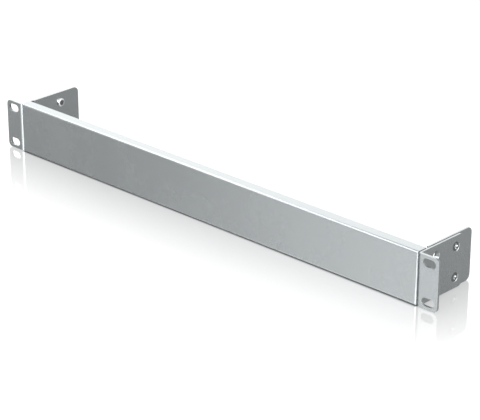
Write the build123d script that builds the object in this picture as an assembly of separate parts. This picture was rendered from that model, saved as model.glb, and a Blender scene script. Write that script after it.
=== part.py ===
from build123d import *
import os

# Rack blanking panel, one unit high: a folded front panel carried by two L-shaped ear brackets,
# each fastened to the panel's side wall by two countersunk screws in clinch nuts.
# Millimetres. X runs along the width, +Y to the back and +Z up. The origin is the centre of the
# four rack slots, on the rear faces of the ears, which bear on the rack's posts.

# Rack interface
rack_width = 482.6
slot_edge_distance = 8.75
slot_pitch_z = 31.75
slot_length = 12.0
slot_width = 6.8

# Ear brackets
ear_width = 19.65
bracket_sheet = 2.0
bracket_height_step = 0.4
bracket_inner_radius = 0.5
bracket_side_depth = 52.0
ear_corner_radius = 4.0
side_corner_radius = 4.0
plate_gap = 0.05

# Folded front panel
panel_height = 44.4
panel_sheet = 1.5
panel_inner_radius = 0.3
flange_depth = 9.8
wall_beyond_bracket = 12.4
wall_corner_radius = 5.0
relief_length = 2.6

# Fixings
fixing_rear_inset = 8.8
fixing_edge_distance = 9.1
fixing_step = 24.0
screw_diameter = 4.0
screw_clearance = 0.5
screw_head_diameter = 7.5
screw_length = 5.0
countersink_diameter = 8.2
head_seat_gap = 0.05
recess_span = 4.2
recess_web = 1.1
recess_depth = 1.5
recess_floor_span = 2.1
recess_floor_web = 0.55
nut_diameter = 7.9
nut_height = 2.0
nut_shank_diameter = 5.4
nut_shank_gap = 0.05
thread_gap = 0.05

# How far a cutter runs past the face that it cuts
cut_past = 1.0

# Sizes and places worked out from the values above
slot_pitch_x = rack_width - 2 * slot_edge_distance
panel_width = rack_width - 2 * (ear_width + plate_gap)
bracket_height = panel_height - 2 * bracket_height_step
side_wall_depth = bracket_side_depth + wall_beyond_bracket
fixing_pitch_z = bracket_height - 2 * fixing_edge_distance
front_plane = -bracket_sheet
wall_face_x = panel_width / 2
bracket_inner_x = wall_face_x + plate_gap
bracket_outer_x = bracket_inner_x + bracket_sheet
panel_outer_radius = panel_inner_radius + panel_sheet
fixing_y = front_plane + bracket_side_depth - fixing_rear_inset
spare_fixing_y = fixing_y - fixing_step
fixing_heights = (fixing_pitch_z / 2, -fixing_pitch_z / 2)
clearance_diameter = screw_diameter + screw_clearance
nut_hole_diameter = nut_shank_diameter + 2 * nut_shank_gap


def folded_strip(points, inner_radius, sheet):
    """The section of a folded sheet whose middle line passes through the points."""
    middle_line = FilletPolyline(*points, radius=inner_radius + sheet / 2)
    return trace(middle_line, line_width=sheet)


def extruded_along(section, plane, length):
    """A section drawn on a plane, extruded by half the length to each side of it."""
    return extrude(plane * section, amount=length / 2, both=True)


def rod_along_x(diameter, start_x, end_x, y, z):
    """A cylinder from start_x to end_x."""
    middle = Location(((start_x + end_x) / 2, y, z), (0, 90, 0))
    return middle * Cylinder(diameter / 2, abs(end_x - start_x))


def cone_along_x(small_diameter, large_diameter, start_x, y, z):
    """A right-angled cone that opens towards +X from start_x."""
    height = (large_diameter - small_diameter) / 2
    middle = Location((start_x + height / 2, y, z), (0, 90, 0))
    return middle * Cone(small_diameter / 2, large_diameter / 2, height)


def rounded_ends(plate, along, across, count, radius):
    """The plate with the corners at its far end along an axis rounded."""
    corners = plate.edges().filter_by(across).sort_by(along)[-count:]
    return fillet(corners, radius)


def rack_slots():
    """Cutters for the two slots of the right-hand ear."""
    slot = extruded_along(SlotOverall(slot_length, slot_width), Plane.XZ, 2 * (bracket_sheet + cut_past))
    places = [Location((slot_pitch_x / 2, 0, side * slot_pitch_z / 2)) for side in (1, -1)]
    return [place * slot for place in places]


def countersunk_hole(y, z):
    """Cutter for one countersunk hole through the bracket's side plate."""
    cone_depth = (countersink_diameter - clearance_diameter) / 2
    hole = rod_along_x(clearance_diameter, bracket_inner_x - cut_past, bracket_outer_x, y, z)
    cone = cone_along_x(clearance_diameter, countersink_diameter, bracket_outer_x - cone_depth, y, z)
    mouth = rod_along_x(countersink_diameter, bracket_outer_x, bracket_outer_x + cut_past, y, z)
    return [hole, cone, mouth]


def ear_bracket():
    """The right-hand bracket: an ear in front and a side plate that runs back from it."""
    middle_x = (bracket_inner_x + bracket_outer_x) / 2
    middle_y = front_plane + bracket_sheet / 2
    path = [
        (rack_width / 2, middle_y),
        (middle_x, middle_y),
        (middle_x, front_plane + bracket_side_depth),
    ]
    section = folded_strip(path, bracket_inner_radius, bracket_sheet)
    plate = extruded_along(section, Plane.XY, bracket_height)
    plate = rounded_ends(plate, Axis.X, Axis.Y, 2, ear_corner_radius)
    plate = rounded_ends(plate, Axis.Y, Axis.X, 2, side_corner_radius)
    plate -= rack_slots()
    for z in fixing_heights:
        plate -= countersunk_hole(fixing_y, z)
        plate -= countersunk_hole(spare_fixing_y, z)
    return plate


def face_and_flanges():
    """The front face with the flange folded back along its top and bottom edges."""
    middle_y = front_plane + panel_sheet / 2
    middle_z = (panel_height - panel_sheet) / 2
    flange_end = front_plane + flange_depth
    path = [(flange_end, middle_z), (middle_y, middle_z), (middle_y, -middle_z), (flange_end, -middle_z)]
    section = folded_strip(path, panel_inner_radius, panel_sheet)
    channel = extruded_along(section, Plane.YZ, panel_width)
    outline = Rectangle(panel_width, flange_depth, align=(Align.CENTER, Align.MIN))
    front_corners = outline.vertices().sort_by(Axis.Y)[:2]
    outline = fillet(front_corners, panel_outer_radius)
    return channel & extruded_along(Pos(0, front_plane) * outline, Plane.XY, panel_height)


def face_and_side_walls():
    """The front face with a wall folded back at each end, cut down at the front under the flanges."""
    middle_x = wall_face_x - panel_sheet / 2
    middle_y = front_plane + panel_sheet / 2
    wall_end = front_plane + side_wall_depth
    path = [(middle_x, wall_end), (middle_x, middle_y), (-middle_x, middle_y), (-middle_x, wall_end)]
    section = folded_strip(path, panel_inner_radius, panel_sheet)
    pan = extruded_along(section, Plane.XY, panel_height)
    pan = rounded_ends(pan, Axis.Y, Axis.X, 4, wall_corner_radius)
    relief_end = front_plane + flange_depth + relief_length
    relief = Box(panel_width + 2 * cut_past, relief_end - front_plane, panel_outer_radius)
    for side in (1, -1):
        height = side * (panel_height - panel_outer_radius) / 2
        pan -= Pos(0, (front_plane + relief_end) / 2, height) * relief
    return pan


def front_panel():
    """The panel as one folded sheet, with the nut holes in its side walls."""
    panel = face_and_flanges() + face_and_side_walls()
    for y in (fixing_y, spare_fixing_y):
        for z in fixing_heights:
            panel -= rod_along_x(nut_hole_diameter, -panel_width, panel_width, y, z)
    return panel


def cross_recess(head_face_x, y, z):
    """Cutter for the screw's cross recess: two tapered blades that meet on the screw's axis."""
    place = Location((head_face_x, y, z), (0, -90, 0))
    blades = []
    for turn in (0, 90):
        mouth = Rectangle(recess_span, recess_web)
        floor = Pos(0, 0, recess_depth) * Rectangle(recess_floor_span, recess_floor_web)
        blades.append(place * Rot(0, 0, turn) * loft([mouth, floor]))
    return blades


def screw(y, z):
    """A countersunk screw in the right-hand bracket, its head a little below the plate's face."""
    head_face_x = bracket_outer_x - (countersink_diameter - screw_head_diameter) / 2 + head_seat_gap
    neck_x = head_face_x - (screw_head_diameter - screw_diameter) / 2
    head = cone_along_x(screw_diameter, screw_head_diameter, neck_x, y, z)
    shank = rod_along_x(screw_diameter, head_face_x - screw_length, neck_x, y, z)
    return head + shank - cross_recess(head_face_x, y, z)


def clinch_nut(y, z):
    """A round nut on the inner face of the right-hand side wall, with its shank in the wall."""
    seat_x = wall_face_x - panel_sheet
    body = rod_along_x(nut_diameter, seat_x - nut_height, seat_x, y, z)
    shank = rod_along_x(nut_shank_diameter, seat_x, wall_face_x, y, z)
    bore = rod_along_x(screw_diameter + 2 * thread_gap, seat_x - nut_height, wall_face_x, y, z)
    return body + shank - bore


def save(shape, node):
    export_step(shape, f"parts/{node}.step")


os.makedirs("parts", exist_ok=True)
save(front_panel(), "front_panel")
handed = {"right_ear_bracket": ear_bracket()}
for level, z in zip(("upper", "lower"), fixing_heights):
    handed[f"right_{level}_screw"] = screw(fixing_y, z)
    handed[f"right_{level}_clinch_nut"] = clinch_nut(fixing_y, z)
for node, shape in handed.items():
    save(shape, node)
    save(mirror(shape, about=Plane.YZ), node.replace("right", "left"))
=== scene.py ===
import bmesh
import bpy
import math
from mathutils import Euler, Matrix, Vector


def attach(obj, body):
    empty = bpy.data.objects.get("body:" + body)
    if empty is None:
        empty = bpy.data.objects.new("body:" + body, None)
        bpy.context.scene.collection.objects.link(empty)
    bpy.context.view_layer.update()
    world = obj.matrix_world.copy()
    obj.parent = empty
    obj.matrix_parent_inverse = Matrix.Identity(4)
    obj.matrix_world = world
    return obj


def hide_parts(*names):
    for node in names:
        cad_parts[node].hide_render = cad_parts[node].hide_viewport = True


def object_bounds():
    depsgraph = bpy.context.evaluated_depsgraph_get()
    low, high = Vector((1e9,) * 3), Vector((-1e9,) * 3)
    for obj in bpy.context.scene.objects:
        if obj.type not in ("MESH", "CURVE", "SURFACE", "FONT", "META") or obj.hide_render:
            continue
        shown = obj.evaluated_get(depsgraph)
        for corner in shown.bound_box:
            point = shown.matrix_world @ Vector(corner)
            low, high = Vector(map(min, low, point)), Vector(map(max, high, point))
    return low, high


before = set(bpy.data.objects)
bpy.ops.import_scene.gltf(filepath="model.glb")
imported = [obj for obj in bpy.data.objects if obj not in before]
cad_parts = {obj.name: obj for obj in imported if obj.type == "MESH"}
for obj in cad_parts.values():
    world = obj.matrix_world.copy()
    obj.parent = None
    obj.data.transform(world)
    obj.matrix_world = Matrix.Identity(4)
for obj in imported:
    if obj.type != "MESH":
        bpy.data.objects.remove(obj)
cad_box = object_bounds()

# Rack blanking panel, one unit high, in satin silver sheet metal on a pale floor.
# Metres. X runs along the width, +Y to the back and +Z up. Angles are in degrees.

MM = 0.001

# Camera
CAMERA_PLACE = Vector((1.03286, -1.04037, 0.62834))
CAMERA_AZIMUTH = 43.665
CAMERA_TILT = 66.392
CAMERA_ROLL = 0.072
SENSOR_WIDTH = 36.0
LENS = 148.27

# Rounded edges
SHEET_EDGE_ROUND = 0.18 * MM
FASTENER_EDGE_ROUND = 0.08 * MM
EDGE_SEGMENTS = 2
NUT_RIM_ROUND = 1.6 * MM
NUT_RIM_SEGMENTS = 5
SHARP_ANGLE = math.radians(35)
FLAT_ANGLE = math.radians(0.4)
WELD_DISTANCE = 1e-6
NORMAL_WEIGHT = 100

# The screw's recess, which gets a painted highlight: its faces lie within RECESS_REACH of the axis
# and more than RECESS_BELOW_FACE below the head's face, and look outward by more than
# RECESS_FACES_OUT.
RECESS_REACH = 2.3 * MM
RECESS_BELOW_FACE = 0.1 * MM
RECESS_FACES_OUT = 0.05

# The nut: a corner within END_PLANE_REACH of the free end's plane is on it. The rim starts at
# RIM_FROM of the radius and the turned side at SIDE_FROM, and a face there that looks along the
# axis by END_FACES_ALONG or more is an end face. The rounded rim and the turned side get a painted
# highlight.
END_PLANE_REACH = 1e-5
RIM_FROM = 0.9
SIDE_FROM = 0.6
END_FACES_ALONG = 0.95

# Noise of the metal: features a metre and detail, and the part of each noise's range that is used
CLOUD = (14.0, 3.0)
CLOUD_RANGE = (0.3, 0.7)
SCUFF = (260.0, 5.0)
SCUFF_RANGE = (0.4, 0.62)
LEAST_SCUFF = 0.35
GRAIN_DETAIL = 2.0
GRAIN_RANGE = (0.3, 0.7)
SPECKLE_RANGE = (0.35, 0.65)
NOISE_ROUGHNESS = 0.6

# How strongly the grain shows in the metal's colour, roughness and relief
SPECKLE = 0.06
ROUGHNESS_GRAIN = 0.006
RELIEF = 0.5

# Floor. It glows at FLOOR_GLOW near the object and at 1 from far on, between the two distances,
# and not at all under the panel's front strip, which paints a contact shadow there.
FLOOR_HALF = 4.0
FLOOR_GLOW = 0.91
FAR_FROM_OBJECT = (0.15, 0.8)
FRONT_STRIP = 9.8 * MM
CONTACT_REACH = 1.8 * MM
FLOOR_DIFFUSE = 0.22
FLOOR_BOUNCE = 0.4

# The floor's mirror: its share and brightness for the camera, how far out it fades, and its share
# for all other rays. FLOOR_IN_GLOSS is how bright the whole floor is in the object's gloss.
REFLECTION_AT_CONTACT = 0.52
REFLECTION_BRIGHTNESS = 0.5
REFLECTION_REACH = 0.1
REFLECTION_ROUGHNESS = 0.05
POLISH = 0.65
FLOOR_IN_GLOSS = 0.67

# Sky at the horizon and overhead
SKY_LOW = 0.05
SKY_HIGH = 0.3

# Softboxes: direction from the front towards the right and height above the horizon, width and
# height in metres, and brightness where 1 is white. The back one whitens the top flange, the edge
# one the upper fold, the ramp one brightens the face towards its right end, and the ring ones draw
# the light lines along the upright folds.
SOFTBOX_DISTANCE = 2.5
SOFTBOXES = {
    "back_softbox": (-136.0, 24.0, 2.2, 1.4, 1.6),
    "edge_softbox": (-76.0, 48.5, 3.6, 0.6, 5.2),
    "ramp_softbox": (-26.5, 24.0, 1.25, 1.3, 2.6),
    "ring_left_softbox": (1.5, 24.0, 1.3, 1.3, 3.4),
    "ring_middle_softbox": (30.0, 24.0, 1.3, 1.3, 11.5),
    "ring_right_softbox": (88.0, 24.0, 2.4, 1.3, 4.5),
}


def new_material(name):
    """A node material with a Principled shader, and its node and link collections."""
    material = bpy.data.materials.new(name)
    material.use_nodes = True
    nodes = material.node_tree.nodes
    return material, nodes, material.node_tree.links, nodes["Principled BSDF"]


def add_node(nodes, kind, **settings):
    """A node of a kind, with its settings."""
    node = nodes.new(kind)
    for name, value in settings.items():
        setattr(node, name, value)
    return node


def coloured_node(nodes, kind, level):
    """A shader node whose colour is one level of grey."""
    node = add_node(nodes, kind)
    node.inputs["Color"].default_value = (level, level, level, 1.0)
    return node


def noise(nodes, links, place, scale, detail):
    """Noise with its scale in features a metre."""
    node = add_node(nodes, "ShaderNodeTexNoise")
    node.inputs["Scale"].default_value = scale
    node.inputs["Detail"].default_value = detail
    node.inputs["Roughness"].default_value = NOISE_ROUGHNESS
    links.new(place, node.inputs["Vector"])
    return node.outputs["Fac"]


def ranged(nodes, links, source, low, high, new_low, new_high):
    """A value moved from one range to another."""
    node = add_node(nodes, "ShaderNodeMapRange")
    node.inputs["From Min"].default_value = low
    node.inputs["From Max"].default_value = high
    node.inputs["To Min"].default_value = new_low
    node.inputs["To Max"].default_value = new_high
    links.new(source, node.inputs["Value"])
    return node.outputs["Result"]


def maths(nodes, links, operation, *values):
    """Values or sockets combined."""
    node = add_node(nodes, "ShaderNodeMath", operation=operation)
    for slot, value in zip(node.inputs, values):
        if isinstance(value, (int, float)):
            slot.default_value = value
        else:
            links.new(value, slot)
    return node.outputs[0]


def mixed_colour(nodes, links, factor, first, second):
    """One colour turning into another by a factor."""
    node = add_node(nodes, "ShaderNodeMix", data_type="RGBA")
    # The sockets of this node that take and give colours
    factor_in, first_in, second_in = node.inputs[0], node.inputs[6], node.inputs[7]
    colour_out = node.outputs[2]
    links.new(factor, factor_in)
    for slot, value in ((first_in, first), (second_in, second)):
        if isinstance(value, tuple):
            slot.default_value = (*value, 1.0)
        else:
            links.new(value, slot)
    return colour_out


def mixed_shader(nodes, links, factor, first, second):
    """One shader turning into another by a factor."""
    node = add_node(nodes, "ShaderNodeMixShader")
    for slot, source in zip(node.inputs, (factor, first, second)):
        links.new(source, slot)
    return node.outputs[0]


def metal(name, dark, light, edge, painted_highlight, metallic, roughness, grain_scale, grain_depth):
    """Satin metal: a cloudy colour and fine grain, with the mesh's marked edges worn lighter and
    its marked faces given a painted highlight.
    """
    material, nodes, links, shader = new_material(name)
    place = add_node(nodes, "ShaderNodeTexCoord").outputs["Object"]
    cloud = noise(nodes, links, place, *CLOUD)
    grain = noise(nodes, links, place, grain_scale, GRAIN_DETAIL)
    scuff = noise(nodes, links, place, *SCUFF)
    edge_mark = add_node(nodes, "ShaderNodeAttribute", attribute_name="edge").outputs["Fac"]
    # Faces marked in the mesh take a painted highlight colour in place of the metal's own
    painted_highlight_mark = add_node(nodes, "ShaderNodeAttribute", attribute_name="painted_highlight").outputs["Fac"]

    clouded = ranged(nodes, links, cloud, *CLOUD_RANGE, 0.0, 1.0)
    speckle = ranged(nodes, links, grain, *SPECKLE_RANGE, 0.0, SPECKLE)
    scuffed = ranged(nodes, links, scuff, *SCUFF_RANGE, LEAST_SCUFF, 1.0)
    worn = maths(nodes, links, "MULTIPLY", edge_mark, scuffed)
    body = mixed_colour(nodes, links, clouded, dark, light)
    speckled = mixed_colour(nodes, links, speckle, body, light)
    finish = mixed_colour(nodes, links, painted_highlight_mark, speckled, painted_highlight)
    links.new(mixed_colour(nodes, links, worn, finish, edge), shader.inputs["Base Color"])
    shader.inputs["Metallic"].default_value = metallic

    satin = ranged(nodes, links, cloud, *CLOUD_RANGE, *roughness)
    uneven = ranged(nodes, links, grain, *GRAIN_RANGE, -ROUGHNESS_GRAIN, ROUGHNESS_GRAIN)
    links.new(maths(nodes, links, "ADD", satin, uneven), shader.inputs["Roughness"])

    bump = add_node(nodes, "ShaderNodeBump")
    bump.inputs["Strength"].default_value = RELIEF
    bump.inputs["Distance"].default_value = grain_depth
    links.new(grain, bump.inputs["Height"])
    links.new(bump.outputs["Normal"], shader.inputs["Normal"])
    return material


def plain_form(node):
    """The node's mesh with its corners joined and its flat faces whole."""
    shape = bmesh.new()
    shape.from_mesh(bpy.data.objects[node].data)
    bmesh.ops.remove_doubles(shape, verts=shape.verts, dist=WELD_DISTANCE)
    bmesh.ops.dissolve_limit(
        shape, angle_limit=FLAT_ANGLE, verts=shape.verts, edges=shape.edges, delimit=set()
    )
    return shape


def sharp_edges(shape):
    return [e for e in shape.edges if len(e.link_faces) == 2 and e.calc_face_angle() > SHARP_ANGLE]


def round_edges(shape, edges, width, segments):
    """The edges rounded; the new faces are given back."""
    made = bmesh.ops.bevel(
        shape, geom=edges, offset=width, offset_type="OFFSET", segments=segments, profile=0.5,
        affect="EDGES", clamp_overlap=True,
    )
    return made["faces"]


def order_faces(shape):
    """Puts the faces in the order of their corners, which is the same in each run."""
    shape.verts.index_update()
    ordered = sorted(shape.faces, key=lambda face: sorted(vertex.index for vertex in face.verts))
    places = {face: place for place, face in enumerate(ordered)}
    shape.faces.sort(key=places.get)


def finished_mesh(shape, name, width):
    """The form as a mesh, with its sharp edges rounded and those faces marked."""
    edge_mark = shape.faces.layers.float.new("edge")
    for face in round_edges(shape, sharp_edges(shape), width, EDGE_SEGMENTS):
        face[edge_mark] = 1.0
    order_faces(shape)
    mesh = bpy.data.meshes.new(name + "_form")
    shape.to_mesh(mesh)
    shape.free()
    mesh.shade_smooth()
    return mesh


def sheet_form(node):
    return finished_mesh(plain_form(node), node, SHEET_EDGE_ROUND)


def axis_box(shape):
    """The least and greatest corner of a form."""
    low = Vector([min(v.co[axis] for v in shape.verts) for axis in range(3)])
    high = Vector([max(v.co[axis] for v in shape.verts) for axis in range(3)])
    return low, high


def off_axis(point, middle):
    """The distance of a point from a line along X through the middle."""
    return math.hypot(point.y - middle.y, point.z - middle.z)


def screw_form(node):
    """The screw with the faces of its cross recess marked for a painted highlight."""
    shape = plain_form(node)
    low, high = axis_box(shape)
    middle = (low + high) / 2
    outward = 1.0 if middle.x > 0 else -1.0
    head_face = max(outward * low.x, outward * high.x)
    painted_highlight_mark = shape.faces.layers.float.new("painted_highlight")
    for face in shape.faces:
        place = face.calc_center_median()
        near_axis = off_axis(place, middle) < RECESS_REACH
        below_face = head_face - outward * place.x > RECESS_BELOW_FACE
        faces_out = outward * face.normal.x > RECESS_FACES_OUT
        if near_axis and below_face and faces_out:
            face[painted_highlight_mark] = 1.0
    return finished_mesh(shape, node, FASTENER_EDGE_ROUND)


def nut_form(node):
    """The nut with the rim of its free end rounded, and that rim and its turned side marked for a
    painted highlight.
    """
    shape = plain_form(node)
    low, high = axis_box(shape)
    middle = (low + high) / 2
    free_end = low.x if middle.x > 0 else high.x
    radius = (high.z - low.z) / 2

    def on_rim(vertex):
        on_end = abs(vertex.co.x - free_end) < END_PLANE_REACH
        return on_end and off_axis(vertex.co, middle) > RIM_FROM * radius

    rim = [edge for edge in sharp_edges(shape) if all(on_rim(vertex) for vertex in edge.verts)]
    painted_highlight_mark = shape.faces.layers.float.new("painted_highlight")
    round_edges(shape, rim, NUT_RIM_ROUND, NUT_RIM_SEGMENTS)
    for face in shape.faces:
        far_from_bore = off_axis(face.calc_center_median(), middle) > SIDE_FROM * radius
        if far_from_bore and abs(face.normal.x) < END_FACES_ALONG:
            face[painted_highlight_mark] = 1.0
    return finished_mesh(shape, node, FASTENER_EDGE_ROUND)


def dressed(node, suffix, mesh, material):
    """A piece that stands for a node."""
    piece = bpy.data.objects.new(f"{node}_{suffix}", mesh)
    bpy.context.scene.collection.objects.link(piece)
    mesh.materials.append(material)
    normals = piece.modifiers.new("even_normals", "WEIGHTED_NORMAL")
    normals.weight = NORMAL_WEIGHT
    normals.keep_sharp = True
    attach(piece, "root")
    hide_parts(node)


def seen_rays(nodes, links):
    """1 for rays from the camera or from a gloss or glass surface, otherwise 0."""
    rays = add_node(nodes, "ShaderNodeLightPath").outputs
    glossy = maths(nodes, links, "MAXIMUM", rays["Is Glossy Ray"], rays["Is Transmission Ray"])
    return maths(nodes, links, "MAXIMUM", rays["Is Camera Ray"], glossy)


def distance_outside(nodes, links, low, high):
    """How far a floor point is from a rectangle, such as the object's footprint."""
    place = add_node(nodes, "ShaderNodeNewGeometry").outputs["Position"]
    split = add_node(nodes, "ShaderNodeSeparateXYZ")
    links.new(place, split.inputs[0])
    squares = []
    for axis in (0, 1):
        middle, half = (low[axis] + high[axis]) / 2, (high[axis] - low[axis]) / 2
        from_middle = maths(nodes, links, "SUBTRACT", split.outputs[axis], middle)
        reach = maths(nodes, links, "ABSOLUTE", from_middle)
        past_side = maths(nodes, links, "SUBTRACT", reach, half)
        outside = maths(nodes, links, "MAXIMUM", past_side, 0.0)
        squares.append(maths(nodes, links, "MULTIPLY", outside, outside))
    return maths(nodes, links, "SQRT", maths(nodes, links, "ADD", *squares))


def floor_material(low, high, strip_high):
    """White floor that keeps the object's shadow, with a painted contact shadow along the front
    strip, and mirrors the object close to it.
    """
    material, nodes, links, shader = new_material("floor_finish")
    nodes.remove(shader)
    to_camera = add_node(nodes, "ShaderNodeLightPath").outputs["Is Camera Ray"]
    brightness = ranged(nodes, links, to_camera, 0.0, 1.0, FLOOR_IN_GLOSS, 1.0)
    distance = distance_outside(nodes, links, low, high)
    from_strip = distance_outside(nodes, links, low, strip_high)

    glow = coloured_node(nodes, "ShaderNodeEmission", 1.0)
    open_floor = ranged(nodes, links, distance, *FAR_FROM_OBJECT, FLOOR_GLOW, 1.0)
    # Painted contact shadow: no glow at the front strip, full glow from CONTACT_REACH out
    clear_of_contact = ranged(nodes, links, from_strip, 0.0, CONTACT_REACH, 0.0, 1.0)
    glow_level = maths(nodes, links, "MULTIPLY", open_floor, clear_of_contact)
    links.new(maths(nodes, links, "MULTIPLY", glow_level, brightness), glow.inputs["Strength"])
    lit = add_node(nodes, "ShaderNodeBsdfDiffuse")
    links.new(maths(nodes, links, "MULTIPLY", brightness, FLOOR_DIFFUSE), lit.inputs["Color"])
    white = add_node(nodes, "ShaderNodeAddShader")
    links.new(glow.outputs[0], white.inputs[0])
    links.new(lit.outputs[0], white.inputs[1])

    mirror = add_node(nodes, "ShaderNodeBsdfGlossy")
    mirrored = ranged(nodes, links, to_camera, 0.0, 1.0, FLOOR_IN_GLOSS, REFLECTION_BRIGHTNESS)
    links.new(mirrored, mirror.inputs["Color"])
    mirror.inputs["Roughness"].default_value = REFLECTION_ROUGHNESS
    at_contact = REFLECTION_AT_CONTACT - POLISH
    fading = ranged(nodes, links, distance, 0.0, REFLECTION_REACH, at_contact, -POLISH)
    share = maths(nodes, links, "MULTIPLY_ADD", to_camera, fading, POLISH)

    seen = mixed_shader(nodes, links, share, white.outputs[0], mirror.outputs[0])
    bounce = coloured_node(nodes, "ShaderNodeBsdfDiffuse", FLOOR_BOUNCE)
    result = mixed_shader(nodes, links, seen_rays(nodes, links), bounce.outputs[0], seen)
    links.new(result, nodes["Material Output"].inputs["Surface"])
    return material


def make_floor():
    """A square floor under the object, whose finish follows the front panel's footprint."""
    panel_box = [Vector(corner) for corner in bpy.data.objects["front_panel"].bound_box]
    # The first and the seventh are the box's least and greatest corners
    low, high = panel_box[0], panel_box[6]
    strip_high = Vector((high.x, low.y + FRONT_STRIP, high.z))
    mesh = bpy.data.meshes.new("floor_form")
    half, height = FLOOR_HALF, cad_box[0].z
    corners = [(x * half, y * half, height) for x, y in ((-1, -1), (1, -1), (1, 1), (-1, 1))]
    mesh.from_pydata(corners, [], [(0, 1, 2, 3)])
    mesh.materials.append(floor_material(low, high, strip_high))
    floor = bpy.data.objects.new("floor", mesh)
    bpy.context.scene.collection.objects.link(floor)


def make_world():
    """White to the camera and to gloss; a soft sky, brighter overhead, lights the object."""
    world = bpy.data.worlds.new("studio")
    bpy.context.scene.world = world
    world.use_nodes = True
    nodes, links = world.node_tree.nodes, world.node_tree.links
    nodes.clear()
    direction = add_node(nodes, "ShaderNodeTexCoord").outputs["Generated"]
    split = add_node(nodes, "ShaderNodeSeparateXYZ")
    links.new(direction, split.inputs[0])
    sky = add_node(nodes, "ShaderNodeBackground")
    sky_level = ranged(nodes, links, split.outputs[2], 0.0, 1.0, SKY_LOW, SKY_HIGH)
    links.new(sky_level, sky.inputs["Strength"])
    backdrop = coloured_node(nodes, "ShaderNodeBackground", 1.0)
    seen = seen_rays(nodes, links)
    result = mixed_shader(nodes, links, seen, sky.outputs[0], backdrop.outputs[0])
    output = add_node(nodes, "ShaderNodeOutputWorld")
    links.new(result, output.inputs["Surface"])


def softbox(name, around, above, width, height, brightness):
    """A soft rectangular lamp that faces the object's middle from a direction."""
    lamp = bpy.data.lights.new(name, "AREA")
    lamp.shape = "RECTANGLE"
    lamp.size, lamp.size_y = width, height
    lamp.energy = brightness * math.pi * width * height
    holder = bpy.data.objects.new(name, lamp)
    turn, lift = math.radians(around), math.radians(above)
    level = math.cos(lift)
    outward = Vector((math.sin(turn) * level, -math.cos(turn) * level, math.sin(lift)))
    holder.location = SOFTBOX_DISTANCE * outward
    holder.rotation_euler = (-outward).to_track_quat("-Z", "Y").to_euler()
    bpy.context.scene.collection.objects.link(holder)


def make_camera():
    data = bpy.data.cameras.new("camera")
    data.sensor_fit = "HORIZONTAL"
    data.sensor_width = SENSOR_WIDTH
    data.lens = LENS
    camera = bpy.data.objects.new("camera", data)
    turn = Euler((math.radians(CAMERA_TILT), 0.0, math.radians(CAMERA_AZIMUTH))).to_matrix()
    turn = turn @ Matrix.Rotation(math.radians(CAMERA_ROLL), 3, "Z")
    camera.matrix_world = Matrix.Translation(CAMERA_PLACE) @ turn.to_4x4()
    bpy.context.scene.collection.objects.link(camera)
    bpy.context.scene.camera = camera


silver = metal(
    "silver_sheet_finish",
    dark=(0.289, 0.307, 0.311), light=(0.299, 0.318, 0.324),
    edge=(0.42, 0.44, 0.445), painted_highlight=(0.299, 0.318, 0.324),
    metallic=0.95, roughness=(0.25, 0.29), grain_scale=2600.0, grain_depth=0.0006 * MM,
)
plated_screw = metal(
    "plated_screw_finish",
    dark=(0.12, 0.127, 0.13), light=(0.15, 0.158, 0.16),
    # The light colour for the cross recess is a painted highlight
    edge=(0.22, 0.23, 0.23), painted_highlight=(0.62, 0.63, 0.63),
    metallic=1.0, roughness=(0.20, 0.28), grain_scale=4200.0, grain_depth=0.002 * MM,
)
plated_nut = metal(
    "plated_nut_finish",
    dark=(0.39, 0.40, 0.40), light=(0.44, 0.45, 0.45),
    # The near-white colour for the rim and turned side is a painted highlight
    edge=(0.55, 0.56, 0.56), painted_highlight=(0.86, 0.87, 0.87),
    metallic=1.0, roughness=(0.22, 0.30), grain_scale=4200.0, grain_depth=0.002 * MM,
)

dressed("front_panel", "sheet", sheet_form("front_panel"), silver)
for side in ("left", "right"):
    bracket = f"{side}_ear_bracket"
    dressed(bracket, "sheet", sheet_form(bracket), silver)
    for level in ("upper", "lower"):
        screw, nut = f"{side}_{level}_screw", f"{side}_{level}_clinch_nut"
        dressed(screw, "turned", screw_form(screw), plated_screw)
        dressed(nut, "turned", nut_form(nut), plated_nut)

make_floor()
make_world()
make_camera()
for name, values in SOFTBOXES.items():
    softbox(name, *values)

bpy.context.scene.view_settings.view_transform = "Standard"
